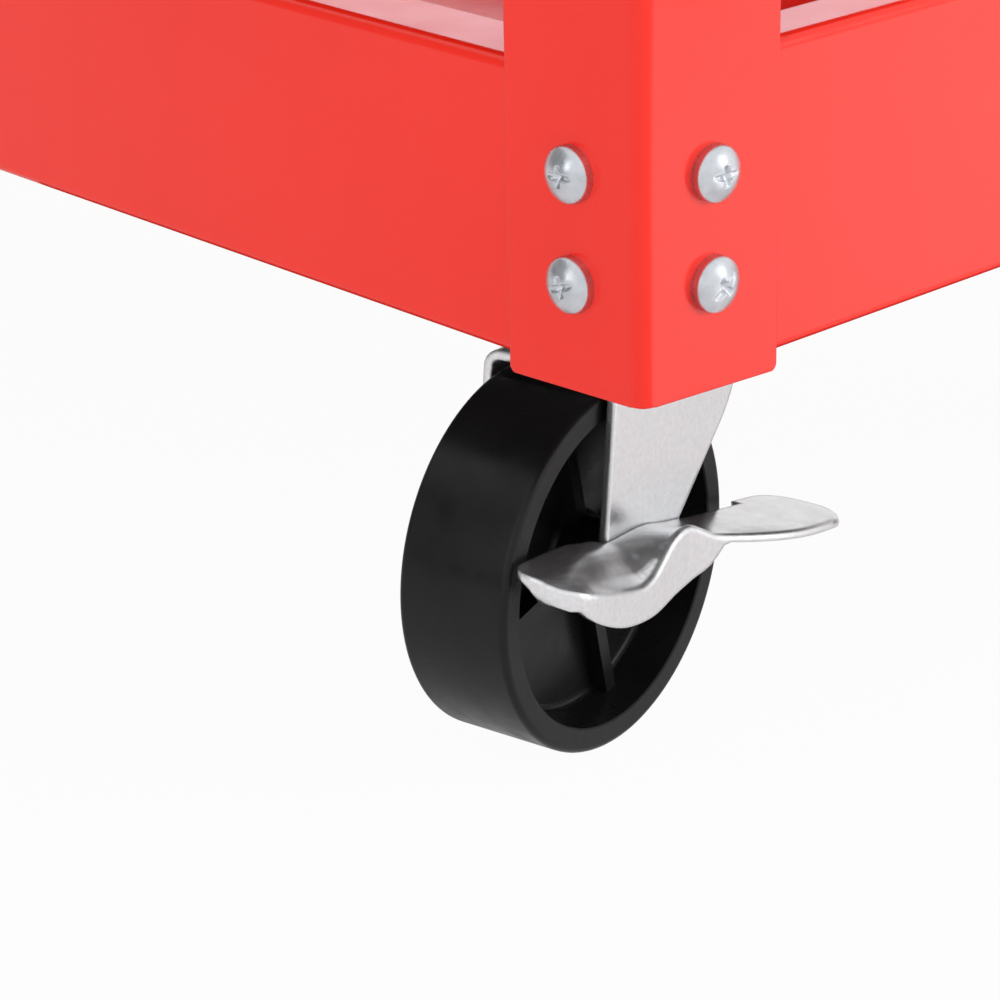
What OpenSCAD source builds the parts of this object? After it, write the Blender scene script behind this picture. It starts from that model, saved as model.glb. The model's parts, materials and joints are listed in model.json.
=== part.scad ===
// Three-tier steel tool cart: four angle posts, three lipped trays, a push handle,
// two swivel casters with foot brakes and two fixed casters.
// Millimetres, +Z up. The origin is on the floor, at the middle of the overall box.
// +X is the front, the handle is at -X, and -Y is the right-hand side.

/* [Cart] */
// Length over the corner posts
cart_l = 700; // [600:10:900]
// Width over the corner posts
cart_w = 430; // [400:10:520]
// Height from one tray to the next
tier_pitch = 290; // [220:5:340]
// Height of the casters, from the floor to the lower tray's underside
caster_h = 128; // [127:0.5:136]

/* [Posts] */
// Width of each flange of a post
post_w = 45.5; // [42:0.5:55]
// Sheet thickness of a post
post_t = 1.5; // [1:0.1:2.5]
// Outer radius of the bend between the flanges
post_bend_r = 4; // [3.5:0.5:6]
// Radius of the flanges' lower corners
foot_corner_r = 2; // [1:0.5:4]
// How far the foot of a post hangs below the lower tray, at the bend
foot_drop = 2; // [1:0.5:6]
// How much lower the foot is at the ends of the flanges
foot_rake = 1.8; // [0.5:0.1:4]
// How far the posts stop below the rim of the upper tray's long walls
post_top_gap = 1; // [0.5:0.5:5]

/* [Trays] */
// Height of the long walls
side_h = 74; // [70:0.5:74]
// Height of the end walls
end_h = 78; // [77:0.5:90]
// Sheet thickness of a tray
tray_t = 1; // [0.8:0.1:1.6]
// Outer radius of the bend at the rim
rim_r = 3; // [2:0.5:5]
// Outer radius of the bend at the floor
floor_r = 2.5; // [2:0.5:5]
// Width of the lip on the long walls
side_lip = 22; // [12:0.5:28]
// Width of the lip on the end walls
end_lip = 17; // [12:0.5:24]
// Slit between the walls at a corner
corner_slit = 3; // [2.5:0.5:6]

/* [Screws] */
// Thread diameter of the post screws
screw_d = 6; // [5:0.5:7]
// Diameter of the domed head
screw_head_d = 14; // [12:0.5:16]
// Height of the domed head
screw_head_h = 4.6; // [3:0.1:5]
// Length under the head
screw_l = 11; // [10:0.5:16]
// Distance from a post's corner to its screws
screw_inset = 23; // [18:0.5:28]
// Height of the lower screws above a tray's underside
screw_low = 24; // [15:0.5:30]
// Distance from the lower to the upper screws
screw_pitch = 27; // [20:0.5:34]
// Nut size across flats
nut_af = 10; // [9:0.5:11]
// Nut height
nut_h = 5; // [4:0.5:6]

/* [Handle] */
// Distance from the posts to the axis of the hand bar
handle_out = 95; // [80:1:130]
// Room between a post and the flange that holds an arm of the handle
flange_room = 3; // [2:0.5:10]
// Height of the handle above the upper tray's underside
handle_z = 39; // [36:0.5:42]
// Outer diameter of the tube
tube_d = 22; // [18:0.5:26]
// Wall of the tube
tube_t = 1.5; // [1:0.1:2.5]
// Bend radius at the tube's axis
tube_bend_r = 36; // [30:1:45]
// Outer diameter of the grip
grip_d = 30; // [28:0.5:36]
// Bare tube between each end of the grip and the bend
grip_bare = 4; // [2:0.5:15]
// Number of grooves round the grip
grip_grooves = 9; // [3:1:13]
// Height of the flange that holds an arm
flange_h = 58; // [54:0.5:60]
// Width of that flange
flange_w = 34; // [32:0.5:44]
// Thickness of that flange
flange_t = 2.5; // [2:0.1:4]
// Length of the flange's collar
collar_l = 16; // [10:0.5:24]
// Wall of the collar
collar_t = 2; // [1.5:0.1:3]

/* [Casters] */
// Wheel diameter
wheel_d = 101.6; // [96:0.1:102]
// Wheel width
wheel_w = 34; // [28:0.5:36]
// Radial thickness of the tread ring
rim_t = 7; // [5:0.5:9]
// Thickness of the wheel's middle web
web_t = 6; // [4:0.5:8]
// Diameter of the wheel's hub
hub_d = 24; // [20:0.5:28]
// Number of ribs on each side of the web
ribs = 4; // [3:1:8]
// Thickness of a rib
rib_t = 4; // [2.5:0.1:5]
// Height of a rib above the web
rib_h = 5; // [3:0.5:6]
// Axle diameter
axle_d = 8; // [7:0.5:9]
// Outer diameter of the sleeve that the wheel turns on
sleeve_d = 12; // [11:0.5:13.5]
// Room between the wheel and each leg
leg_gap = 1.5; // [1.2:0.1:3]
// Sheet thickness of the forks
fork_t = 2.5; // [2:0.1:3]
// Room between the wheel and the top of a swivel fork
wheel_room = 2.7; // [2:0.1:4]
// Outer radius of the bends at a fork's top
fork_bend_r = 5; // [4:0.5:7]
// Radius of a leg round the axle
leg_end_r = 12; // [10:0.5:14]
// Lean of a leg's leading edge from upright
lead_lean = 6.7; // [3:0.1:9]
// Slope of a leg's trailing edge
trail_slope = 46; // [44:0.5:50]
// Distance from the axle back to the swivel pin
trail = 32; // [29:0.5:36]
// Swivel pin's distance from the end of the cart
pin_in_x = 84.5; // [78:0.5:110]
// Swivel pin's distance from the side of the cart
pin_in_y = 80; // [78:0.5:110]
// Turn of the right-hand swivel caster as it stands
turn_right = 7; // [-20:1:20]
// Turn of the left-hand swivel caster as it stands
turn_left = -79; // [-90:1:20]
// Length of a caster's plate
plate_l = 96; // [90:1:110]
// Width of a caster's plate
plate_w = 72; // [68:1:84]
// Thickness of a caster's plate
plate_t = 3; // [2.5:0.1:4]
// Bolt spacing along a caster's plate
bolt_x = 76; // [70:1:80]
// Bolt spacing across a caster's plate
bolt_y = 52; // [50:1:56]
// Thread diameter of the plate's bolts
bolt_d = 8; // [6:0.5:8]
// Diameter of the swivel's ball race
race_d = 29; // [27:0.5:30]
// Number of balls in the race
balls = 12; // [8:1:13]
// Diameter of a ball
ball_d = 5.5; // [5:0.1:6]
// Diameter of the swivel pin
pin_d = 12; // [10:0.5:13]

/* [Brake lever] */
// Reach of the lever ahead of the axle
lever_lead = 50.5; // [46:0.5:54]
// Reach of the lever behind the axle
lever_tail = 72; // [66:0.5:80]
// Width of the front pad, from the plane of the ear
lead_pad_w = 17; // [15:0.5:20]
// Width of the lever over the axle
waist_w = 13.5; // [13:0.5:15]
// Width of the rear pad, from the plane of the ear
tail_pad_w = 25; // [22:0.5:30]
// Corner radius of the pads
pad_r = 11; // [9:0.5:12]
// Sheet thickness of the lever
lever_t = 2; // [1.6:0.1:2.4]
// Thickness of the ear that turns on the axle
ear_t = 1.8; // [1.5:0.1:2.2]
// How far both pads reach in past the plane of the ear
pad_in = 3; // [2:0.1:3]

/* [Hidden] */
$fn = 64;
run_gap = 0.08;
slip_gap = 0.05;
side_gap = 0.4;
hole_gap = 0.2;
over = 1;
red = [0.87, 0.13, 0.11];
zinc = [0.78, 0.79, 0.80];
black = [0.07, 0.07, 0.08];
grey = [0.16, 0.16, 0.17];

screw_rim = 0.6;
head_h = screw_head_h + screw_rim;
tier_z = [caster_h, caster_h + tier_pitch, caster_h + 2 * tier_pitch];
foot_z = caster_h - foot_drop;
post_top = tier_z[2] + side_h - post_top_gap;
tray_l = cart_l - 2 * post_t;
tray_w = cart_w - 2 * post_t;
wall_d = post_t + tray_t;
screw_r = screw_d / 2;
tube_r = tube_d / 2;
// The box runs from the grip at the back to the screw heads at the front.
cart_x = (handle_out + grip_d / 2 - head_h) / 2;

wheel_r = wheel_d / 2;
axle_r = axle_d / 2;
sleeve_r = sleeve_d / 2;
// Angle of the first rib as the wheel stands.
rib_turn = -77;
leg_in = wheel_w / 2 + leg_gap;
leg_out = leg_in + fork_t;
plate_z = caster_h - plate_t;
crown_h = wheel_r + wheel_room + fork_t;
crown_z = wheel_r + crown_h;
// How far a swivel fork's top reaches past the ball race.
crown_past = 6.5;
crown_rear = trail + race_d / 2 + crown_past;
pin_x = -cart_l / 2 + pin_in_x;
pin_y = cart_w / 2 - pin_in_y;
fixed_x = cart_l / 2 - pin_in_x;
bolt_r = bolt_d / 2;
bolt_af = 1.625 * bolt_d;
bolt_head_h = 0.66 * bolt_d;
bolt_nut_h = 0.8 * bolt_d;
// How far a thread stands past its nut.
thread_past = 2;

// Ear, washer and axle head, counted outward from the leg.
ear_y = leg_out + side_gap;
ear_gap = 0.2;
washer_y = ear_y + ear_t + ear_gap;
washer_t = 1;
axle_head_y = washer_y + washer_t;
axle_head_r = 1.7 * axle_r;
washer_r = axle_head_r + 1;
axle_head_h = 3;
axle_nut_h = 0.85 * axle_d;
axle_nut_af = 1.625 * axle_d;
axle_tip = leg_out + axle_nut_h + thread_past;

// Quarter of a ring with its centre at the origin, in the quadrant of sx and sy.
module quarter_ring(r, t, sx, sy) {
    intersection() {
        difference() {
            circle(r);
            circle(r - t);
        }
        scale([sx, sy]) square(r + over);
    }
}

// Hexagon prism on the XY plane.
module hex(af, h) {
    cylinder(d = af / cos(30), h = h, $fn = 6);
}

// Points of an arc round c, from angle a to angle b.
function arc(c, r, a, b, n = 6) = [for (i = [0:n]) let (at = a + (b - a) * i / n) c + r * [cos(at), sin(at)]];

// Posts

// Places its children at a corner of the cart: sx and sy are the signs of the corner.
module at_corner(sx, sy) {
    translate([cart_x + sx * cart_l / 2, sy * cart_w / 2, 0])
        scale([-sx, -sy, 1]) children();
}

// Angle section with its outer corner at the origin and its flanges along +X and +Y.
module angle_section() {
    translate([post_bend_r, post_bend_r]) quarter_ring(post_bend_r, post_t, -1, -1);
    translate([post_bend_r, 0]) square([post_w - post_bend_r, post_t]);
    translate([0, post_bend_r]) square([post_t, post_w - post_bend_r]);
}

// What is cut from the foot of the flange along +X: the rake and the rounded corner.
module foot_cut() {
    tip = [post_w, foot_z - foot_rake];
    bend = [0, foot_z];
    translate([0, post_bend_r, 0]) rotate([90, 0, 0]) linear_extrude(post_bend_r + over) {
        polygon([bend, tip, tip + [over, 0], tip - [-over, over], [-over, tip[1] - over], [-over, foot_z]]);
        difference() {
            translate(tip - [foot_corner_r, over]) square([foot_corner_r + over, foot_corner_r + over]);
            translate(tip + [-foot_corner_r, foot_corner_r]) circle(foot_corner_r);
        }
    }
}

// The screws of one flange: heights on every tier, at the inset along +X, with the axis along Y.
module on_flange(tiers) {
    for (k = tiers)
        for (up = [0, screw_pitch])
            translate([screw_inset, 0, tier_z[k] + screw_low + up]) rotate([90, 0, 0]) children();
}

// Both flanges of a corner.
module on_corner(tiers) {
    on_flange(tiers) children();
    mirror([1, -1, 0]) on_flange(tiers) children();
}

module post(sx, sy) {
    color(red) at_corner(sx, sy) difference() {
        translate([0, 0, foot_z - foot_rake])
            linear_extrude(post_top - foot_z + foot_rake) angle_section();
        foot_cut();
        mirror([1, -1, 0]) foot_cut();
        on_corner([0, 1, 2]) cylinder(r = screw_r + hole_gap, h = 4 * post_t, center = true);
    }
}

// Trays

// Folded wall: floor bend, wall, rim bend and lip, with the wall's outer face at x = 0.
module wall_section(h, lip) {
    translate([floor_r, 0]) square([floor_r, tray_t]);
    translate([floor_r, floor_r]) quarter_ring(floor_r, tray_t, -1, -1);
    translate([0, floor_r]) square([tray_t, h - floor_r - rim_r]);
    translate([rim_r, h - rim_r]) quarter_ring(rim_r, tray_t, -1, 1);
    translate([rim_r, h - tray_t]) square([lip - rim_r, tray_t]);
}

// Wall along Y, l long, with its outer face towards -X.
module wall(h, lip, l) {
    translate([0, l / 2, 0]) rotate([90, 0, 0]) linear_extrude(l) wall_section(h, lip);
}

// Places its children at each corner of the bolt pattern of every caster.
module at_bolts() {
    for (x = [pin_x, fixed_x])
        for (y = [-pin_y, pin_y])
            for (bx = [-bolt_x / 2, bolt_x / 2])
                for (by = [-bolt_y / 2, bolt_y / 2])
                    translate([cart_x + x + bx, y + by, 0]) children();
}

module tray(k) {
    color(red) difference() {
        translate([cart_x, 0, tier_z[k]]) {
            for (s = [-1, 1]) {
                scale([-s, 1, 1]) translate([-tray_l / 2, 0, 0])
                    wall(end_h, end_lip, tray_w - 2 * corner_slit);
                scale([1, -s, 1]) translate([0, -tray_w / 2, 0])
                    rotate([0, 0, 90]) scale([1, -1, 1]) wall(side_h, side_lip, tray_l - 2 * corner_slit);
            }
            translate([-tray_l / 2 + 2 * floor_r, -tray_w / 2 + 2 * floor_r, 0])
                cube([tray_l - 4 * floor_r, tray_w - 4 * floor_r, tray_t]);
        }
        for (sx = [-1, 1])
            for (sy = [-1, 1])
                at_corner(sx, sy) on_corner([k])
                    cylinder(r = screw_r + hole_gap, h = 4 * wall_d, center = true);
        if (k == 0)
            at_bolts() translate([0, 0, caster_h - over])
                cylinder(r = bolt_r + hole_gap, h = tray_t + 2 * over);
        if (k == 2)
            at_handle_screws() cylinder(r = screw_r + hole_gap, h = 4 * wall_d, center = true);
    }
}

// Screws and nuts

// Domed screw along +Z with its head resting on the XY plane, and a cross and slot in the head.
module screw() {
    cap_r = (pow(screw_head_d / 2, 2) + pow(screw_head_h, 2)) / (2 * screw_head_h);
    slot_t = screw_head_d / 10;
    slot_l = 0.72 * screw_head_d;
    cross_l = 0.5 * screw_head_d;
    difference() {
        union() {
            translate([0, 0, -screw_l]) cylinder(r = screw_r, h = screw_l + screw_rim / 2);
            cylinder(d = screw_head_d, h = screw_rim);
            translate([0, 0, screw_rim]) intersection() {
                translate([0, 0, screw_head_h - cap_r]) sphere(cap_r);
                cylinder(d = screw_head_d + over, h = screw_head_h + over);
            }
        }
        translate([-slot_l / 2, -slot_t / 2, head_h - 0.35 * head_h]) cube([slot_l, slot_t, head_h]);
        translate([-slot_t / 2, -cross_l / 2, head_h - 0.5 * head_h]) cube([slot_t, cross_l, head_h]);
        translate([-cross_l / 2, -slot_t / 2, head_h - 0.5 * head_h]) cube([cross_l, slot_t, head_h]);
    }
}

// Nut along +Z on the XY plane.
module nut(af, h, r) {
    difference() {
        hex(af, h);
        translate([0, 0, -over]) cylinder(r = r + slip_gap, h = h + 2 * over);
    }
}

module tier_screws(k) {
    color(zinc)
        for (sx = [-1, 1])
            for (sy = [-1, 1])
                at_corner(sx, sy) on_corner([k]) screw();
}

module tier_nuts(k) {
    color(zinc)
        for (sx = [-1, 1])
            for (sy = [-1, 1])
                at_corner(sx, sy) on_corner([k])
                    translate([0, 0, -wall_d - nut_h]) nut(nut_af, nut_h, screw_r);
}

// Handle

// Distance from the ends of a flange to its screws.
flange_end = 9;
// Place of a flange's screws, from its middle.
flange_screw = flange_h / 2 - flange_end;
handle_span = cart_w - 2 * (post_w + flange_room) - flange_w;
grip_l = handle_span - 2 * (tube_bend_r + grip_bare);
bar_x = -cart_l / 2 - handle_out;

// Frame of the handle: origin on the outer face of the upper tray's end wall, +Z pointing out.
module at_handle(y) {
    translate([cart_x - tray_l / 2, y, tier_z[2] + handle_z]) rotate([0, -90, 0]) children();
}

module at_handle_screws() {
    for (y = [-handle_span / 2, handle_span / 2])
        for (s = [-1, 1])
            at_handle(y) translate([s * flange_screw, 0, 0]) children();
}

// The route of the handle as a solid rod: two arms, two bends and the bar.
module handle_rod(r, arm_from) {
    bend = tube_bend_r;
    arm_l = handle_out + post_t - bend - arm_from;
    for (s = [-1, 1]) scale([1, s, 1]) {
        at_handle(handle_span / 2) translate([0, 0, arm_from]) cylinder(r = r, h = arm_l);
        translate([cart_x + bar_x + bend, handle_span / 2 - bend, tier_z[2] + handle_z])
            rotate([0, 0, 90]) rotate_extrude(angle = 90) translate([bend, 0]) circle(r);
    }
    translate([cart_x + bar_x, 0, tier_z[2] + handle_z]) rotate([90, 0, 0])
        cylinder(r = r, h = handle_span - 2 * bend, center = true);
}

module handle_tube() {
    color(red) difference() {
        handle_rod(tube_r, flange_t);
        handle_rod(tube_r - tube_t, flange_t - over);
    }
}

module handle_grip() {
    groove_r = 1.2;
    end_r = 3;
    wall = grip_d / 2 - tube_r;
    color(black) translate([cart_x + bar_x, 0, tier_z[2] + handle_z]) rotate([90, 0, 0]) difference() {
        rotate_extrude() polygon(concat(
            arc([grip_d / 2 - end_r, grip_l / 2 - end_r], end_r, 0, 90),
            [[tube_r + slip_gap, grip_l / 2], [tube_r + slip_gap, -grip_l / 2]],
            arc([grip_d / 2 - end_r, -grip_l / 2 + end_r], end_r, -90, 0)));
        for (i = [1:grip_grooves])
            translate([0, 0, -grip_l / 2 + i * grip_l / (grip_grooves + 1)])
                rotate_extrude() translate([grip_d / 2 + wall / 8, 0]) circle(groove_r);
    }
}

module handle_flange(s) {
    end_r = flange_w / 2;
    color(zinc) at_handle(s * handle_span / 2) difference() {
        union() {
            translate([-flange_h / 2 + end_r, -end_r, 0]) cube([flange_h - 2 * end_r, flange_w, flange_t]);
            for (e = [-1, 1])
                translate([e * (flange_h / 2 - end_r), 0, 0]) cylinder(r = end_r, h = flange_t);
            cylinder(r = tube_r + collar_t, h = flange_t + collar_l);
        }
        translate([0, 0, flange_t]) cylinder(r = tube_r + slip_gap, h = collar_l + over);
        for (e = [-1, 1])
            translate([e * flange_screw, 0, -over])
                cylinder(r = screw_r + hole_gap, h = flange_t + 2 * over);
    }
}

module handle_screws() {
    color(zinc) at_handle_screws() translate([0, 0, flange_t]) screw();
}

module handle_nuts() {
    color(zinc) at_handle_screws() translate([0, 0, -tray_t - nut_h]) nut(nut_af, nut_h, screw_r);
}

// Caster plates and their bolts

module caster_plate_blank() {
    corner_r = 9;
    difference() {
        union() {
            cube([plate_l - 2 * corner_r, plate_w, 2 * plate_t], center = true);
            cube([plate_l, plate_w - 2 * corner_r, 2 * plate_t], center = true);
            for (x = [-1, 1])
                for (y = [-1, 1])
                    translate([x * (plate_l / 2 - corner_r), y * (plate_w / 2 - corner_r), -plate_t])
                        cylinder(r = corner_r, h = 2 * plate_t);
        }
        translate([-plate_l, -plate_w, -2 * plate_t]) cube([2 * plate_l, 2 * plate_w, 2 * plate_t]);
        for (x = [-bolt_x / 2, bolt_x / 2])
            for (y = [-bolt_y / 2, bolt_y / 2])
                translate([x, y, -over]) cylinder(r = bolt_r + hole_gap, h = plate_t + 2 * over);
    }
}

module caster_bolts() {
    under = tray_t + plate_t + bolt_nut_h + thread_past;
    color(zinc) at_bolts() translate([0, 0, caster_h + tray_t]) {
        hex(bolt_af, bolt_head_h);
        translate([0, 0, -under]) cylinder(r = bolt_r, h = under + bolt_head_h / 2);
    }
}

module caster_nuts() {
    color(zinc) at_bolts() translate([0, 0, plate_z - bolt_nut_h]) nut(bolt_af, bolt_nut_h, bolt_r);
}

// Swivel head

// The head fills the room between the top of the fork and the plate.
head_room = plate_z - crown_z;
boss_h = 0.22 * head_room;
race_gap = 0.165 * head_room;
skirt_lap = 0.11 * head_room;
skirt_roof = 0.055 * head_room;
lower_race_z = crown_z + boss_h;
upper_race_z = lower_race_z + race_gap;
ball_z = lower_race_z + race_gap / 2;
race_r = race_d / 2;
// Wall outside the race, and the room round the balls in the upper race.
race_wall = 2.5;
ball_room = 0.3;
head_r = race_r + ball_d / 2 + race_wall;
skirt_gap = 0.6;
skirt_t = 1.8;
// The pin has a head under the fork, and its upper end is riveted over in the plate.
pin_head_h = 4;
pin_head_r = pin_d / 2 + 3.5;
pin_head_gap = 0.2;
pin_sunk = 0.5;
rivet_r = pin_d / 2 + 1.5;
rivet_room = 0.5;
boss_sunk = fork_t - 0.1;

// Places its children on a swivel pin, turned as the caster stands. The wheel is at -X of it.
module at_pin(s, turn) {
    translate([cart_x + pin_x, s * pin_y, 0]) rotate([0, 0, turn]) children();
}

// Groove of the ball race, with the given room round the balls.
module race_groove(gap) {
    translate([0, 0, ball_z]) rotate_extrude() translate([race_r, 0]) circle(ball_d / 2 + gap);
}

module swivel_plate(s) {
    color(zinc) translate([cart_x + pin_x, s * pin_y, 0]) difference() {
        union() {
            translate([0, 0, plate_z]) caster_plate_blank();
            translate([0, 0, upper_race_z]) cylinder(r = head_r, h = plate_z - upper_race_z + plate_t / 2);
            translate([0, 0, lower_race_z - skirt_lap]) difference() {
                cylinder(
                    r = head_r + skirt_gap + skirt_t,
                    h = plate_z - lower_race_z + skirt_lap + plate_t / 2);
                translate([0, 0, -over])
                    cylinder(r = head_r + skirt_gap, h = skirt_lap + race_gap + skirt_roof + over);
            }
        }
        race_groove(ball_room);
        translate([0, 0, crown_z]) cylinder(r = pin_d / 2 + slip_gap, h = caster_h);
        translate([0, 0, plate_z]) cylinder(r = rivet_r + rivet_room, h = caster_h);
    }
}

module swivel_pin(s) {
    foot = crown_z - fork_t - pin_head_gap;
    color(zinc) translate([cart_x + pin_x, s * pin_y, 0]) {
        translate([0, 0, foot - pin_head_h / 2])
            cylinder(r = pin_d / 2, h = caster_h - pin_sunk - foot + pin_head_h / 2);
        translate([0, 0, foot - pin_head_h]) cylinder(r = pin_head_r, h = pin_head_h);
        translate([0, 0, plate_z]) cylinder(r = rivet_r, h = plate_t - pin_sunk);
    }
}

module swivel_balls(s, turn) {
    color(zinc) at_pin(s, turn)
        for (i = [0:balls - 1])
            rotate([0, 0, i * 360 / balls]) translate([race_r, 0, ball_z]) sphere(d = ball_d);
}

// Forks

// Distance from the axle to a leg's edges, just inside its round end.
edge_r = leg_end_r - 0.1;
// How far a fixed leg stops short of the plate's ends at the top.
leg_stop = 14;

// Side view of a swivel fork's leg round the axle at the origin: a round end with its two
// edges running into it, the leading edge near upright and the trailing edge sloping back.
module swivel_leg_side() {
    lead = edge_r * [-cos(lead_lean), sin(lead_lean)];
    lead_top = lead + [sin(lead_lean), cos(lead_lean)] * (crown_h - lead[1]) / cos(lead_lean);
    rear = edge_r * [sin(trail_slope), -cos(trail_slope)];
    shoulder = rear + [cos(trail_slope), sin(trail_slope)] * (crown_rear - rear[0]) / cos(trail_slope);
    blend = 14;
    up = [0, blend];
    back = -blend * [cos(trail_slope), sin(trail_slope)];
    circle(leg_end_r);
    polygon(concat(
        [[0, 0], lead, lead_top, [crown_rear, crown_h]],
        [for (i = [0:8]) let (t = i / 8) shoulder + (1 - t) * (1 - t) * up + t * t * back],
        [rear]));
}

// Side view of a fixed fork's leg, alike on both sides.
module fixed_leg_side(h) {
    top = plate_l / 2 - leg_stop;
    lean = atan2(top - leg_end_r, h);
    edge = edge_r * [cos(lean), -sin(lean)];
    circle(leg_end_r);
    polygon([edge, [top, h], [-top, h], [-edge[0], edge[1]], [0, 0]]);
}

// Folded channel seen from the end, with its top at h and its legs down past the axle.
module channel_section(h) {
    low = -leg_end_r - over;
    for (s = [-1, 1]) scale([s, 1]) {
        translate([leg_in, low]) square([fork_t, h - fork_bend_r - low]);
        translate([leg_out - fork_bend_r, h - fork_bend_r]) quarter_ring(fork_bend_r, fork_t, 1, 1);
    }
    translate([-leg_out + fork_bend_r, h - fork_t]) square([2 * (leg_out - fork_bend_r), fork_t]);
}

// Channel along X round an axle along Y, cut to a side view given as children.
module fork_channel(h, from, to) {
    intersection() {
        translate([from, 0, 0]) rotate([90, 0, 90]) linear_extrude(to - from) channel_section(h);
        translate([0, leg_out + over, 0]) rotate([90, 0, 0])
            linear_extrude(2 * leg_out + 2 * over) children();
    }
}

// Hole for the axle through both legs.
module axle_hole() {
    rotate([90, 0, 0]) cylinder(r = axle_r + slip_gap, h = 4 * leg_out, center = true);
}

// Places its children at the axle of a swivel caster.
module at_swivel_axle(s, turn) {
    at_pin(s, turn) translate([-trail, 0, wheel_r]) children();
}

// Places its children at the axle of a fixed caster.
module at_fixed_axle(s) {
    translate([cart_x + fixed_x, s * pin_y, wheel_r]) children();
}

module swivel_fork(s, turn) {
    color(zinc) at_pin(s, turn) difference() {
        union() {
            translate([-trail, 0, wheel_r])
                fork_channel(crown_h, -2 * leg_end_r, crown_rear + over) swivel_leg_side();
            translate([0, 0, crown_z - boss_sunk])
                cylinder(r = head_r, h = boss_h + boss_sunk);
        }
        race_groove(slip_gap);
        translate([0, 0, crown_z - 2 * fork_t])
            cylinder(r = pin_d / 2 + run_gap, h = boss_h + 4 * fork_t);
        translate([-trail, 0, wheel_r]) axle_hole();
    }
}

module fixed_fork(s) {
    h = plate_z - wheel_r;
    top = h + plate_t / 10;
    color(zinc) at_fixed_axle(s) difference() {
        union() {
            fork_channel(top, -plate_l / 2, plate_l / 2) fixed_leg_side(top);
            translate([0, 0, h]) caster_plate_blank();
        }
        axle_hole();
    }
}

// Axles and wheels

// Axle bolt along Y: a low round head at y = -head_y, the thread end on the other side.
module axle(head_y) {
    color(zinc) rotate([90, 0, 0]) {
        translate([0, 0, -axle_tip]) cylinder(r = axle_r, h = axle_tip + head_y + axle_head_h / 2);
        translate([0, 0, head_y]) rotate_extrude() polygon(concat(
            [[0, 0], [axle_head_r, 0]],
            arc([axle_head_r - 2, axle_head_h - 2], 2, 0, 90),
            [[0, axle_head_h]]));
    }
}

module axle_nut() {
    color(zinc) translate([0, leg_out, 0]) rotate([-90, 0, 0]) nut(axle_nut_af, axle_nut_h, axle_r);
}

// Sleeve between the legs, clamped by the axle.
module sleeve() {
    color(zinc) rotate([90, 0, 0]) difference() {
        cylinder(r = sleeve_r, h = 2 * leg_in, center = true);
        cylinder(r = axle_r + slip_gap, h = 2 * leg_in + over, center = true);
    }
}

// Wheel round Y: tread with rounded edges, deep recesses on both sides of a web, a hub and low
// ribs that run from the hub to the rim.
module wheel() {
    half = wheel_w / 2;
    edge_r = 1.8;
    rim_in = wheel_r - rim_t;
    draft = 1.2;
    fillet = 2;
    hub_half = half + leg_gap / 2;
    rib_top = web_t / 2 + rib_h;
    rib_from = sleeve_r + (hub_d / 2 - sleeve_r) / 2;
    rib_to = wheel_r - rim_t / 2;
    bore_r = sleeve_r + run_gap;
    side = concat(
        [[bore_r, hub_half], [hub_d / 2 - 0.8, hub_half], [hub_d / 2, hub_half - 0.8]],
        arc([hub_d / 2 + fillet, web_t / 2 + fillet], fillet, 180, 270, 4),
        arc([rim_in - draft - fillet, web_t / 2 + fillet], fillet, 270, 360, 4),
        [[rim_in, half - 0.4], [rim_in + 0.4, half]],
        arc([wheel_r - edge_r, half - edge_r], edge_r, 90, 0, 6));
    color(black) rotate([90, 0, 0]) {
        rotate_extrude() polygon(concat(side, [for (i = [len(side) - 1:-1:0]) [side[i][0], -side[i][1]]]));
        for (i = [0:ribs - 1])
            rotate([0, 0, rib_turn + i * 360 / ribs]) translate([rib_from, -rib_t / 2, -rib_top])
                cube([rib_to - rib_from, rib_t, 2 * rib_top]);
    }
}

// Brake lever

// Heights above the axle along the lever, as [share of the reach, height].
// A negative share lies ahead of the axle, a positive share behind it.
inner_edge = [[-1, 18], [-0.9, 17.9], [-0.65, 17], [-0.52, 16.2], [-0.35, 14], [-0.21, 12.2], [0.07, 11.3],
    [0.23, 8.4], [0.68, 1.6], [1, -3]];
outer_edge = [[-1, 17.3], [-0.96, 16.2], [-0.86, 14.2], [-0.63, 10], [-0.4, 6.2], [-0.29, 5], [-0.18, 6],
    [-0.085, 8.6], [0, 11.6], [0.07, 13.4], [0.13, 13], [0.26, 7.8], [0.6, 2.2], [1, -3]];
front_lobe = [[-1, 14], [-0.97, 10.8], [-0.93, 9.6], [-0.87, 9.1]];
axle_lobe = [[-0.87, 9.1], [-0.85, 7], [-0.75, 3.3], [-0.6, -0.6], [-0.47, -3], [-0.3, -4.7], [-0.15, -5],
    [0.03, -3.4], [0.145, -1.7], [0.2, -0.4], [0.24, 2], [0.28, 5.2]];
// Width of the lever along it, before its corners are rounded
widths = [[-1, lead_pad_w], [-0.8, lead_pad_w], [-0.3, 0.4 * lead_pad_w + 0.6 * waist_w], [0.1, waist_w],
    [0.26, 0.75 * waist_w + 0.25 * tail_pad_w], [0.6, tail_pad_w], [1, tail_pad_w]];

// Inner corners of the front pad and the rear pad, and the shares over which the sheet widens to them
lead_corner = -0.26;
tail_corner = 0.74;
lead_widens = [-0.1, -0.22];
tail_widens = [0.5, 0.6];
// Steps across the lever and along its straight part
across = 8;
along = 46;

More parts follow.
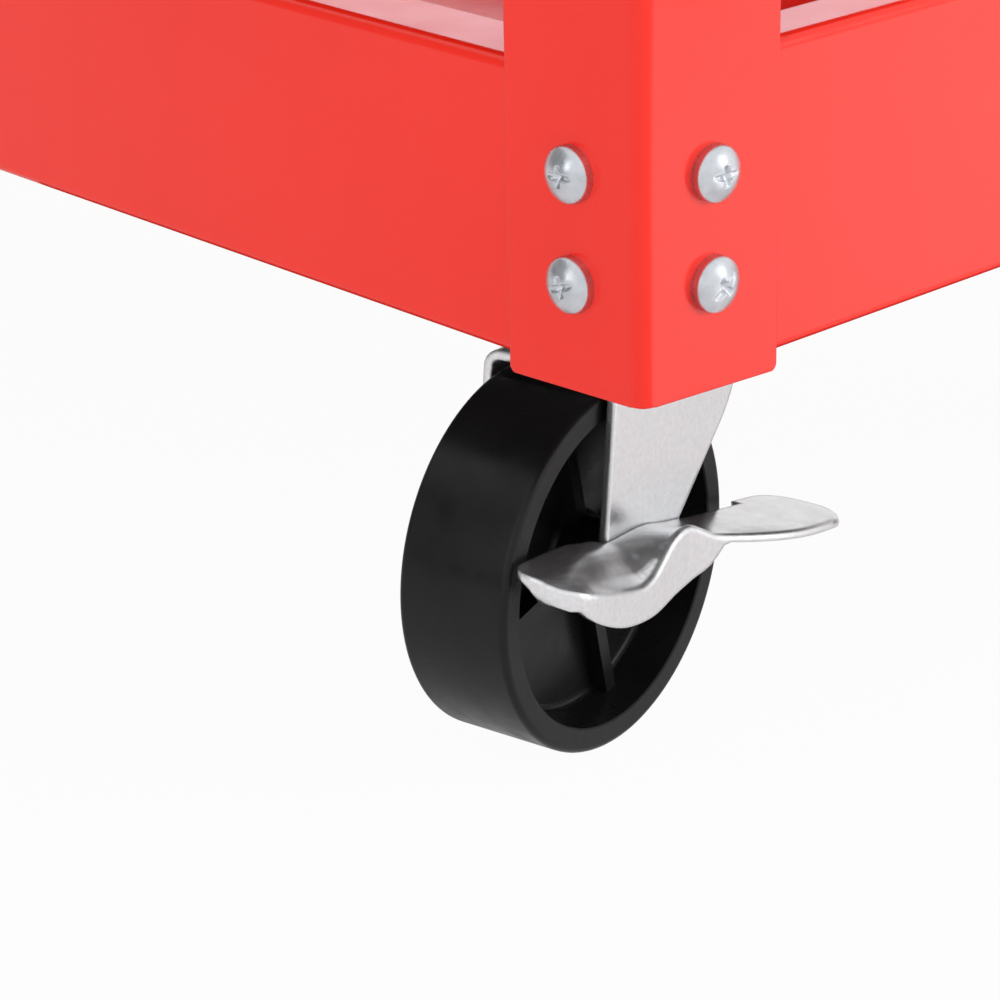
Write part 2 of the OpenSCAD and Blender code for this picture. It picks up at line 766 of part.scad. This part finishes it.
// Smooth curve through knots, at x.
function span(k, x, i = 0) = i >= len(k) - 2 || x < k[i + 1][0] ? i : span(k, x, i + 1);
function slope(k, i) =
    let (a = max(i - 1, 0), b = min(i + 1, len(k) - 1)) (k[b][1] - k[a][1]) / (k[b][0] - k[a][0]);
function curve(k, x) =
    let (i = span(k, x), h = k[i + 1][0] - k[i][0], t = (x - k[i][0]) / h, u = 1 - t)
    (1 + 2 * t) * u * u * k[i][1] + t * u * u * h * slope(k, i)
    + t * t * (3 - 2 * t) * k[i + 1][1] - t * t * u * h * slope(k, i + 1);

// Distance ahead of or behind the axle, as a share of the reach.
function share(x) = x < 0 ? x / lever_lead : x / lever_tail;

// How much a round corner takes off the width at x, for an end at e.
function corner(x, e, r) = let (d = r - abs(e - x)) d <= 0 ? 0 : r - sqrt(r * r - d * d);

function outer_y(x) = curve(widths, share(x))
    - (x < 0 ? corner(x, -lever_lead, pad_r) : corner(x, lever_tail, pad_r));
function widening(q, at) =
    let (t = min(max((q - at[0]) / (at[1] - at[0]), 0), 1)) pad_in * t * t * (3 - 2 * t);
function inner_y(x) = x < 0 ? corner(x, -lever_lead, 2 * pad_in) - widening(share(x), lead_widens)
    : corner(x, lever_tail, 0.8 * pad_r) - widening(share(x), tail_widens);

// Inner face of the skirt, a sheet's thickness inside its outer face all round the front pad.
function skirt_y(x) =
    let (d = x + lever_lead, w = curve(widths, share(x)), r = pad_r - lever_t)
    d < lever_t ? w - pad_r - lever_t + d
    : d < pad_r ? w - pad_r + sqrt(r * r - (pad_r - d) * (pad_r - d))
    : outer_y(x) - lever_t;

// Lower edge of the skirt, or of the bare sheet behind it.
function skirt_z(x, top) = let (q = share(x), sheet = top - lever_t - 0.2)
    q <= axle_lobe[0][0] ? curve(front_lobe, q)
    : q < axle_lobe[len(axle_lobe) - 1][0] ? min(sheet, curve(axle_lobe, q)) : sheet;

// Section of the lever across its length at x, as [y out from the leg, z above the axle]:
// the top from the leg outward, the bend, the skirt, and the underside back to the leg.
function lever_ring(x) =
    let (
        bend = 0.75 * lever_t,
        y0 = inner_y(x), y1 = outer_y(x), y2 = skirt_y(x),
        z0 = curve(inner_edge, share(x)), z1 = curve(outer_edge, share(x)),
        low = skirt_z(x, z1),
        top = function (y) let (t = (y - y0) / (y1 - bend - y0)) z1 + (z0 - z1) * (1 - t * t * t)
    )
    concat(
        [for (i = [0:across]) let (y = y0 + (y1 - bend - y0) * i / across) [y, top(y)]],
        [[y1 - 0.3 * bend, z1 - 0.3 * bend], [y1, z1 - bend], [y1, low], [y2, low]],
        [for (i = [across:-1:0]) let (q = i / across, y = y0 + (y2 - y0) * q)
            [y, x < lever_t - lever_lead ? (low + 0.3) * q + (z0 - lever_t) * (1 - q) : top(y) - lever_t]]);

// Triangles over an end section: a strip along the top, then a fan round the skirt's inner corner.
function cap_faces(first, flip) =
    let (
        n = across, last = 2 * n + 5, c = n + 5,
        faces = concat(
            [for (i = [0:n - 2]) each [[i, i + 1, last - i], [i + 1, last - 1 - i, last - i]]],
            [[c, c + 1, n - 1]],
            [for (i = [n - 1:n + 3]) [c, i, i + 1]]))
    [for (f = faces) [for (j = [0:2]) first + f[flip ? 2 - j : j]]];

module lever_sheet() {
    round_steps = [for (a = [0:15:75]) pad_r * (1 - cos(a))];
    from = -lever_lead + pad_r;
    to = lever_tail - pad_r;
    xs = concat(
        [for (d = round_steps) -lever_lead + d],
        [for (i = [0:along]) from + (to - from) * i / along],
        [for (i = [len(round_steps) - 1:-1:0]) lever_tail - round_steps[i]]);
    rings = [for (x = xs) [for (p = lever_ring(x)) [x, -p[0], p[1]]]];
    n = len(rings[0]);
    m = len(rings);
    polyhedron(
        [for (r = rings) for (p = r) p],
        concat(
            cap_faces(0, false),
            cap_faces((m - 1) * n, true),
            [for (i = [0:m - 2]) for (j = [0:n - 1]) let (k = (j + 1) % n) each [
                [i * n + j, (i + 1) * n + k, i * n + k],
                [i * n + j, (i + 1) * n + j, (i + 1) * n + k]]]));
}

// Ear under the inner edge, round the axle.
module lever_ear() {
    ear_r = leg_end_r - 1.5;
    foot = 0.6 * ear_r;
    set_in = 0.15;
    reach = [for (q = [-0.22, -0.1, 0, 0.08, 0.16])
        [q * (q < 0 ? lever_lead : lever_tail), curve(inner_edge, q) - lever_t / 2]];
    translate([0, -set_in, 0]) rotate([90, 0, 0]) linear_extrude(ear_t - set_in) {
        circle(ear_r);
        polygon(concat([[-foot, -foot / 3]], reach, [[foot, -foot / 3]]));
    }
}

module brake_lever() {
    neck = [lead_corner * lever_lead, tail_corner * lever_tail];
    set_in = 0.05;
    color(zinc) translate([0, -ear_y, 0]) difference() {
        union() {
            lever_sheet();
            lever_ear();
        }
        rotate([90, 0, 0]) cylinder(r = axle_r + run_gap, h = 4 * ear_t, center = true);
        translate([neck[0], -set_in, -4 * leg_end_r]) cube([neck[1] - neck[0], 2 * pad_in, 8 * leg_end_r]);
    }
}

module brake_washer() {
    color(zinc) translate([0, -washer_y, 0]) rotate([90, 0, 0]) difference() {
        cylinder(r = washer_r, h = washer_t);
        translate([0, 0, -over]) cylinder(r = axle_r + slip_gap, h = washer_t + 2 * over);
    }
}

post(-1, -1);  // post_rear_right
post(-1, 1);  // post_rear_left
post(1, -1);  // post_front_right
post(1, 1);  // post_front_left
tray(0);  // tray_lower
tray(1);  // tray_middle
tray(2);  // tray_upper
tier_screws(0);  // screws_lower
tier_screws(1);  // screws_middle
tier_screws(2);  // screws_upper
tier_nuts(0);  // nuts_lower
tier_nuts(1);  // nuts_middle
tier_nuts(2);  // nuts_upper
handle_tube();
handle_grip();
handle_flange(-1);  // handle_flange_right
handle_flange(1);  // handle_flange_left
handle_screws();
handle_nuts();
caster_bolts();
caster_nuts();
swivel_plate(-1);  // swivel_plate_right
swivel_pin(-1);  // swivel_pin_right
swivel_balls(-1, turn_right);  // swivel_balls_right
swivel_fork(-1, turn_right);  // swivel_fork_right
at_swivel_axle(-1, turn_right) axle(axle_head_y);  // swivel_axle_right
at_swivel_axle(-1, turn_right) axle_nut();  // swivel_axle_nut_right
at_swivel_axle(-1, turn_right) sleeve();  // swivel_sleeve_right
at_swivel_axle(-1, turn_right) wheel();  // swivel_wheel_right
at_swivel_axle(-1, turn_right) brake_washer();  // brake_washer_right
at_swivel_axle(-1, turn_right) brake_lever();  // brake_lever_right
swivel_plate(1);  // swivel_plate_left
swivel_pin(1);  // swivel_pin_left
swivel_balls(1, turn_left);  // swivel_balls_left
swivel_fork(1, turn_left);  // swivel_fork_left
at_swivel_axle(1, turn_left) axle(axle_head_y);  // swivel_axle_left
at_swivel_axle(1, turn_left) axle_nut();  // swivel_axle_nut_left
at_swivel_axle(1, turn_left) sleeve();  // swivel_sleeve_left
at_swivel_axle(1, turn_left) wheel();  // swivel_wheel_left
at_swivel_axle(1, turn_left) brake_washer();  // brake_washer_left
at_swivel_axle(1, turn_left) brake_lever();  // brake_lever_left
fixed_fork(-1);  // fixed_fork_right
at_fixed_axle(-1) axle(leg_out);  // fixed_axle_right
at_fixed_axle(-1) axle_nut();  // fixed_axle_nut_right
at_fixed_axle(-1) sleeve();  // fixed_sleeve_right
at_fixed_axle(-1) wheel();  // fixed_wheel_right
fixed_fork(1);  // fixed_fork_left
at_fixed_axle(1) axle(leg_out);  // fixed_axle_left
at_fixed_axle(1) axle_nut();  // fixed_axle_nut_left
at_fixed_axle(1) sleeve();  // fixed_sleeve_left
at_fixed_axle(1) wheel();  // fixed_wheel_left
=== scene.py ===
import json
import math

import bmesh
import bpy
from mathutils import Matrix, Vector


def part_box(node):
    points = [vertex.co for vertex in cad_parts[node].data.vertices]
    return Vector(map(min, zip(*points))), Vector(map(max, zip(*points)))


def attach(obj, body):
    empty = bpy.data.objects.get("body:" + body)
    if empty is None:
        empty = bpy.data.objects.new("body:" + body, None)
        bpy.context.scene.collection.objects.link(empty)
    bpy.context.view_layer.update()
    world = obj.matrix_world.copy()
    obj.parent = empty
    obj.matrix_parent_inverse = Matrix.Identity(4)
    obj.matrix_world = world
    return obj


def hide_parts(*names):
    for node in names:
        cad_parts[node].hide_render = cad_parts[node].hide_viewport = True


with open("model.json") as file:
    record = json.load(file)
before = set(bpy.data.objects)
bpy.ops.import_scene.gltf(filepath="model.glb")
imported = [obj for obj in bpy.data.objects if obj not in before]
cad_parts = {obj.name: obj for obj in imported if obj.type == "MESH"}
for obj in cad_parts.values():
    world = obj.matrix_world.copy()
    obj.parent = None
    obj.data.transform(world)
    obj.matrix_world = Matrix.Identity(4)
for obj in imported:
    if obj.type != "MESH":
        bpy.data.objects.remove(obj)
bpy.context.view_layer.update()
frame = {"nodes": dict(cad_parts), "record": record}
nodes = frame["nodes"]
scene = bpy.context.scene


# Materials

NOISE_ENDS = (0.3, 0.7)  # noise values at which a tint or a roughness reaches its two ends
BEVEL_SAMPLES = 6


def empty_tree(owner):
    """The node tree of a material or a world, cleared."""
    owner.use_nodes = True
    owner.node_tree.nodes.clear()
    return owner.node_tree


def noise(tree, scale, detail, rough=0.5):
    """Noise in the piece's own coordinates."""
    coords = tree.nodes.new("ShaderNodeTexCoord")
    node = tree.nodes.new("ShaderNodeTexNoise")
    node.inputs["Scale"].default_value = scale
    node.inputs["Detail"].default_value = detail
    node.inputs["Roughness"].default_value = rough
    tree.links.new(coords.outputs["Object"], node.inputs["Vector"])
    return node.outputs["Fac"]


def ramp(tree, fac, low, high):
    """A colour that goes from low to high with the noise."""
    node = tree.nodes.new("ShaderNodeValToRGB")
    for stop, position, color in zip(node.color_ramp.elements, NOISE_ENDS, (low, high)):
        stop.position = position
        stop.color = (*color, 1)
    tree.links.new(fac, node.inputs["Fac"])
    return node.outputs["Color"]


def surface(name, uniform, tint, tint_noise, rough, rough_noise, relief, relief_noise, edge=0.0):
    """A finish whose tint, roughness and fine relief each follow a noise of their own.

    uniform holds the shader values that are the same all over, relief is the strength and
    depth of the bumps, and edge is the radius that the shading gives to the solid's edges.
    """
    mat = bpy.data.materials.new(name)
    tree = empty_tree(mat)
    out = tree.nodes.new("ShaderNodeOutputMaterial")
    bsdf = tree.nodes.new("ShaderNodeBsdfPrincipled")
    tree.links.new(bsdf.outputs["BSDF"], out.inputs["Surface"])
    for socket, value in uniform.items():
        bsdf.inputs[socket].default_value = value

    tree.links.new(ramp(tree, noise(tree, *tint_noise), *tint), bsdf.inputs["Base Color"])
    greys = [(value, value, value) for value in rough]
    tree.links.new(ramp(tree, noise(tree, *rough_noise), *greys), bsdf.inputs["Roughness"])

    bump = tree.nodes.new("ShaderNodeBump")
    strength, depth = relief
    bump.inputs["Strength"].default_value = strength
    bump.inputs["Distance"].default_value = depth
    tree.links.new(noise(tree, *relief_noise), bump.inputs["Height"])
    tree.links.new(bump.outputs["Normal"], bsdf.inputs["Normal"])
    if edge > 0:
        bevel = tree.nodes.new("ShaderNodeBevel")
        bevel.samples = BEVEL_SAMPLES
        bevel.inputs["Radius"].default_value = edge
        tree.links.new(bevel.outputs["Normal"], bump.inputs["Normal"])
    return mat


finishes = {
    "red_paint": surface(
        "red_powder_coat", {"Specular IOR Level": 0.44},
        tint=((0.78, 0.016, 0.006), (0.84, 0.021, 0.009)), tint_noise=(7.0, 3.0),
        rough=(0.13, 0.19), rough_noise=(60.0, 2.0),
        relief=(0.04, 0.0003), relief_noise=(380.0, 2.0), edge=0.0007),
    "zinc_sheet": surface(
        "zinc_sheet", {"Metallic": 0.93},
        tint=((0.76, 0.77, 0.785), (0.86, 0.87, 0.885)), tint_noise=(700.0, 4.0, 0.7),
        rough=(0.17, 0.25), rough_noise=(160.0, 3.0),
        relief=(0.16, 0.0003), relief_noise=(2200.0, 3.0), edge=0.0016),
    "fastener_zinc": surface(
        "fastener_zinc", {"Metallic": 1.0},
        tint=((0.54, 0.57, 0.61), (0.70, 0.73, 0.77)), tint_noise=(220.0, 3.0),
        rough=(0.24, 0.36), rough_noise=(500.0, 2.0),
        relief=(0.10, 0.0003), relief_noise=(1300.0, 2.0)),
    "black_plastic": surface(
        "black_plastic", {"Specular IOR Level": 0.22},
        tint=((0.004, 0.004, 0.0045), (0.008, 0.008, 0.0085)), tint_noise=(40.0, 4.0),
        rough=(0.24, 0.38), rough_noise=(120.0, 4.0),
        relief=(0.06, 0.0003), relief_noise=(900.0, 3.0)),
    "grip_rubber": surface(
        "grip_rubber", {},
        tint=((0.012, 0.012, 0.013), (0.026, 0.026, 0.027)), tint_noise=(90.0, 4.0),
        rough=(0.62, 0.80), rough_noise=(300.0, 4.0),
        relief=(0.25, 0.0005), relief_noise=(1100.0, 3.0)),
}
slot_of = {s["node"]: s["material_slot"] for s in frame["record"]["subparts"]}
for name, obj in nodes.items():
    for slot in obj.material_slots:
        slot.material = finishes[slot_of[name]]


# Places are given from the corner in the photo: the foot of the rear left post's bend

FOOT_Z = 0.126
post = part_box("post_rear_left")
CORNER = Vector((post[0].x, post[1].y, FOOT_Z))


def spot(right, left, up):
    """A point from the corner: right along the end wall, left along the side wall, up."""
    return CORNER + Vector((left, -right, up))


# Screws: heads with a rounded edge, a slot and a cross, in place of the plain domes

SCREW_NODES = ("screws_lower", "screws_middle", "screws_upper", "handle_screws")
HEAD_RINGS, HEAD_SEGMENTS = 22, 64
EDGE_R, EDGE_STEPS = 0.0014, 6
CAP_TILT = math.radians(50)  # where the rounded edge passes into the flatter cap
SLOT_HALF, SLOT_DEEP = 0.0006, 0.0009
CROSS_HALF, CROSS_ARM, CROSS_DEEP = 0.0008, 0.0032, 0.0018
CROSS_RISE = 0.5  # rise of the cross's floor for each unit outward
RECESS_EDGE = 0.00025  # width of the recesses' walls
PHOTO_TURNS = (20, 40, 0, 0)  # degrees, for the four heads in the photo
TURN_STEP = 137.5  # degrees from one head to the next elsewhere
SHARP_ANGLE = math.radians(50)
WELD = 1e-6
HEAD_SHARE = 0.9  # points further out than this share of the radius belong to the head
UNDER_HEAD = 0.001  # points this far below the seat belong to the shank


def loose_parts(mesh):
    """The corner points of each separate solid in a mesh."""
    bm = bmesh.new()
    bm.from_mesh(mesh)
    bmesh.ops.remove_doubles(bm, verts=bm.verts, dist=WELD)
    seen, parts = set(), []
    for start in bm.verts:
        if start in seen:
            continue
        stack, part = [start], []
        seen.add(start)
        while stack:
            vert = stack.pop()
            part.append(vert.co.copy())
            for edge in vert.link_edges:
                other = edge.other_vert(vert)
                if other not in seen:
                    seen.add(other)
                    stack.append(other)
        parts.append(part)
    bm.free()
    return parts


def screw_frame(points):
    """Seat, outward axis and sizes of one screw, read from its solid."""
    low = Vector([min(p[k] for p in points) for k in range(3)])
    high = Vector([max(p[k] for p in points) for k in range(3)])
    size, mid = high - low, (low + high) / 2
    k = max((0, 1), key=lambda i: abs(size[i] - size.z))
    out = Vector((0, 0, 0))
    out[k] = math.copysign(1, mid[k])
    radius = size.z / 2
    along = [(p - mid).dot(out) for p in points]
    across = [((p - mid) - out * a).length for p, a in zip(points, along)]
    seat = min(a for a, r in zip(along, across) if r > HEAD_SHARE * radius)
    shank = max(r for a, r in zip(along, across) if a < seat - UNDER_HEAD)
    return {"seat": mid + out * seat, "out": out, "radius": radius, "shank": shank,
            "high": max(along) - seat, "deep": seat - min(along)}


def recess(x, y, z, top):
    """The height of a point of the head once the slot and the cross are pressed in."""
    def inside(value, half):
        return min(1.0, max(0.0, (half + RECESS_EDGE / 2 - abs(value)) / RECESS_EDGE))

    reach = math.hypot(x, y)
    floor = top - SLOT_DEEP
    z -= max(0.0, z - floor) * inside(y, SLOT_HALF)
    arm = max(inside(x, CROSS_HALF), inside(y, CROSS_HALF)) * inside(reach, CROSS_ARM)
    floor = top - CROSS_DEEP + CROSS_RISE * reach
    return z - max(0.0, z - floor) * arm


def screw_rings(screw):
    """Radius and height of the rings from the shank's end to the top of the head."""
    edge_mid = screw["radius"] - EDGE_R
    cap_r = (edge_mid + EDGE_R * math.cos(CAP_TILT)) / math.cos(CAP_TILT)
    cap_mid = screw["high"] - cap_r
    rim = cap_mid + (cap_r - EDGE_R) * math.sin(CAP_TILT)
    rings = [(screw["shank"], -screw["deep"]), (screw["shank"], 0.0), (screw["radius"], 0.0)]
    for k in range(EDGE_STEPS):
        a = CAP_TILT * k / EDGE_STEPS
        rings.append((edge_mid + EDGE_R * math.cos(a), rim + EDGE_R * math.sin(a)))
    for k in range(HEAD_RINGS):
        a = CAP_TILT + (math.pi / 2 - CAP_TILT) * k / HEAD_RINGS
        rings.append((cap_r * math.cos(a), cap_mid + cap_r * math.sin(a)))
    return rings


def add_screw(bm, screw, turn):
    """One screw as a closed solid, its slot turned by the angle turn."""
    side = Vector((0, 0, 1)).cross(screw["out"])
    up = screw["out"].cross(side)
    loops = []
    for r, z in screw_rings(screw):
        loop = []
        for j in range(HEAD_SEGMENTS):
            a = math.tau * j / HEAD_SEGMENTS
            x, y = r * math.cos(a), r * math.sin(a)
            h = recess(x, y, z, screw["high"]) if z > 0 else z
            across = side * math.cos(a + turn) + up * math.sin(a + turn)
            loop.append(bm.verts.new(screw["seat"] + across * r + screw["out"] * h))
        loops.append(loop)
    top = bm.verts.new(screw["seat"] + screw["out"] * recess(0, 0, screw["high"], screw["high"]))
    for a, b in zip(loops, loops[1:]):
        for j in range(HEAD_SEGMENTS):
            n = (j + 1) % HEAD_SEGMENTS
            bm.faces.new((a[j], a[n], b[n], b[j]))
    for j in range(HEAD_SEGMENTS):
        bm.faces.new((loops[-1][j], loops[-1][(j + 1) % HEAD_SEGMENTS], top))
    bm.faces.new(list(reversed(loops[0])))


def make_screws():
    for node in SCREW_NODES:
        screws = [screw_frame(part) for part in loose_parts(nodes[node].data)]
        screws.sort(key=lambda screw: (screw["seat"] - CORNER).length)
        bm = bmesh.new()
        for k, screw in enumerate(screws):
            in_photo = node == SCREW_NODES[0] and k < len(PHOTO_TURNS)
            turn = PHOTO_TURNS[k] if in_photo else (TURN_STEP * k) % 360
            add_screw(bm, screw, math.radians(turn))
        mesh = bpy.data.meshes.new(node + "_pressed")
        bm.to_mesh(mesh)
        bm.free()
        mesh.polygons.foreach_set("use_smooth", [True] * len(mesh.polygons))
        mesh.set_sharp_from_angle(angle=SHARP_ANGLE)
        piece = bpy.data.objects.new(node + "_pressed", mesh)
        scene.collection.objects.link(piece)
        mesh.materials.append(finishes["fastener_zinc"])
        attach(piece, "cart")
        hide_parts(node)


make_screws()


# Stage

FLOOR_HALF = 6.0
FLOOR_GREY = (0.70, 0.70, 0.70, 1)
FLOOR_SEEN, FLOOR_MIRRORED = 0.96, 0.58  # how white the floor is to the camera and in reflections
SKY_LIGHT = 0.60
WHITE = 1.0
COOL = (0.84, 0.85, 1.0)
UNDER_TRAY = -0.0025  # height of the level cards


def seen_rays(tree, to_camera, reflected):
    """How white a background is: one share for camera rays, one for glossy and transmission rays."""
    path = tree.nodes.new("ShaderNodeLightPath")

    def math_node(operation, a, b):
        n = tree.nodes.new("ShaderNodeMath")
        n.operation = operation
        for socket, value in zip(n.inputs, (a, b)):
            if isinstance(value, float):
                socket.default_value = value
            else:
                tree.links.new(value, socket)
        return n.outputs[0]

    mirrored = math_node("MAXIMUM", path.outputs["Is Glossy Ray"], path.outputs["Is Transmission Ray"])
    return math_node("MAXIMUM", math_node("MULTIPLY", path.outputs["Is Camera Ray"], to_camera),
                     math_node("MULTIPLY", mirrored, reflected))


def mix_white(tree, share, lit, white, out):
    """Sends a lit shader to the output, with a share of plain white in its place."""
    mix = tree.nodes.new("ShaderNodeMixShader")
    for socket, value in zip(mix.inputs, (share, lit.outputs[0], white.outputs[0])):
        tree.links.new(value, socket)
    tree.links.new(mix.outputs[0], out.inputs["Surface"])


def add_plane(name, corners):
    mesh = bpy.data.meshes.new(name)
    mesh.from_pydata([tuple(c) for c in corners], [], [(0, 1, 2, 3)])
    plane = bpy.data.objects.new(name, mesh)
    scene.collection.objects.link(plane)
    return plane


def make_floor():
    floor = add_plane("floor", [(-FLOOR_HALF, -FLOOR_HALF, 0), (FLOOR_HALF, -FLOOR_HALF, 0),
                                (FLOOR_HALF, FLOOR_HALF, 0), (-FLOOR_HALF, FLOOR_HALF, 0)])
    mat = bpy.data.materials.new("floor_white")
    tree = empty_tree(mat)
    out = tree.nodes.new("ShaderNodeOutputMaterial")
    diffuse = tree.nodes.new("ShaderNodeBsdfDiffuse")
    diffuse.inputs["Color"].default_value = FLOOR_GREY
    white = tree.nodes.new("ShaderNodeEmission")
    white.inputs["Strength"].default_value = WHITE
    mix_white(tree, seen_rays(tree, FLOOR_SEEN, FLOOR_MIRRORED), diffuse, white, out)
    floor.data.materials.append(mat)


def make_world():
    world = bpy.data.worlds.new("studio")
    scene.world = world
    tree = empty_tree(world)
    out = tree.nodes.new("ShaderNodeOutputWorld")
    light = tree.nodes.new("ShaderNodeBackground")
    light.inputs["Color"].default_value = (1, 1, 1, 1)
    light.inputs["Strength"].default_value = SKY_LIGHT
    white = tree.nodes.new("ShaderNodeBackground")
    white.inputs["Color"].default_value = (1, 1, 1, 1)
    white.inputs["Strength"].default_value = WHITE
    mix_white(tree, seen_rays(tree, WHITE, WHITE), light, white, out)


def area_light(name, at, target, wide, high, power, color=(1, 1, 1), mirrored=True):
    """A lamp that the camera doesn't see, and reflections only if it is mirrored."""
    data = bpy.data.lights.new(name, "AREA")
    data.color = color
    data.shape = "RECTANGLE"
    data.size = wide
    data.size_y = high
    data.energy = power
    obj = bpy.data.objects.new(name, data)
    scene.collection.objects.link(obj)
    obj.location = at
    obj.rotation_euler = (target - at).to_track_quat("-Z", "Y").to_euler()
    obj.visible_camera = False
    obj.visible_glossy = mirrored


def upright(foot_a, foot_b, low, high):
    """Corners of a card that stands over the line between two places, given as right and left."""
    return [spot(*foot_a, low), spot(*foot_b, low), spot(*foot_b, high), spot(*foot_a, high)]


def level(right, left, up):
    """Corners of a card that lies flat over a range to the right and a range to the left."""
    return [spot(right[0], left[0], up), spot(right[1], left[0], up),
            spot(right[1], left[1], up), spot(right[0], left[1], up)]


def painted_reflection_card(name, corners, tone):
    """A card that glows though it is no lamp and that only reflections see: it paints shade or a
    highlight into reflections, dark or bright by its tone.
    """
    card = add_plane(name, corners)
    mat = bpy.data.materials.new(name)
    tree = empty_tree(mat)
    out = tree.nodes.new("ShaderNodeOutputMaterial")
    glow = tree.nodes.new("ShaderNodeEmission")
    glow.inputs["Color"].default_value = (tone, tone, tone, 1)
    tree.links.new(glow.outputs[0], out.inputs["Surface"])
    card.data.materials.append(mat)
    card.visible_camera = False
    card.visible_diffuse = False
    card.visible_shadow = False
    card.visible_transmission = False


make_floor()
make_world()
area_light("key", at=spot(1.3, -1.9, 0.7), target=spot(0.1, 0, 0),
           wide=1.8, high=1.2, power=41, mirrored=False)
area_light("low", at=spot(0.55, -0.42, -0.118), target=spot(0.55, -0.40, 0.5),
           wide=0.9, high=0.45, power=0.95)
area_light("back", at=spot(1.75, 1.9, 1.15), target=spot(0.2, 0.2, 0.1),
           wide=2.2, high=1.0, power=6.4, color=COOL)
area_light("fill", at=spot(-1.9, -0.3, 0.4), target=spot(0, 0.1, 0),
           wide=1.6, high=0.9, power=21, mirrored=False)
# Dark cards that only reflections see: painted shade in what the metal and paint reflect from the left
# and from under the tray.
painted_reflection_card("painted_shade_left", upright((-2.4, 0.2), (-0.2, 2.4), low=-0.12, high=1.4), tone=0.30)
painted_reflection_card("painted_shade_under", level(right=(0, 0.29), left=(0, 0.25), up=UNDER_TRAY), tone=0.05)
# Bright cards that only reflections see: a painted pale reflection under the tray, and painted
# highlights where the key and fill lamps stand.
painted_reflection_card("painted_reflection_under", level(right=(0.3, 0.55), left=(0, 0.3), up=UNDER_TRAY), tone=0.8)
painted_reflection_card("painted_highlight_key", upright((0.8, -2.1), (1.8, -1.7), low=0.3, high=1.3), tone=2.4)
painted_reflection_card("painted_highlight_fill", upright((-2.0, 0.2), (-1.8, 1.0), low=0.2, high=1.2), tone=2.0)


# Camera

CAM_FROM_CORNER = (-0.5213, -0.5223, 0.2860)
YAW, PITCH, ROLL = (math.radians(d) for d in (2.681, 22.648, -1.229))  # yaw from the corner's diagonal
LENS_PX, PHOTO_PX = 3389.0, 1000
SENSOR_MM = 36.0


def make_camera():
    heading = YAW - math.pi / 4
    ahead = Vector((math.cos(heading) * math.cos(PITCH), math.sin(heading) * math.cos(PITCH),
                    -math.sin(PITCH)))
    level_right = Vector((math.sin(heading), -math.cos(heading), 0))
    level_up = level_right.cross(ahead)
    right = math.cos(ROLL) * level_right + math.sin(ROLL) * level_up
    up = -math.sin(ROLL) * level_right + math.cos(ROLL) * level_up
    data = bpy.data.cameras.new("camera")
    data.sensor_width = SENSOR_MM
    data.lens = LENS_PX / PHOTO_PX * SENSOR_MM
    cam = bpy.data.objects.new("camera", data)
    scene.collection.objects.link(cam)
    turn = Matrix((right, up, -ahead)).transposed()
    cam.matrix_world = Matrix.Translation(spot(*CAM_FROM_CORNER)) @ turn.to_4x4()
    scene.camera = cam


make_camera()
scene.view_settings.view_transform = "Standard"
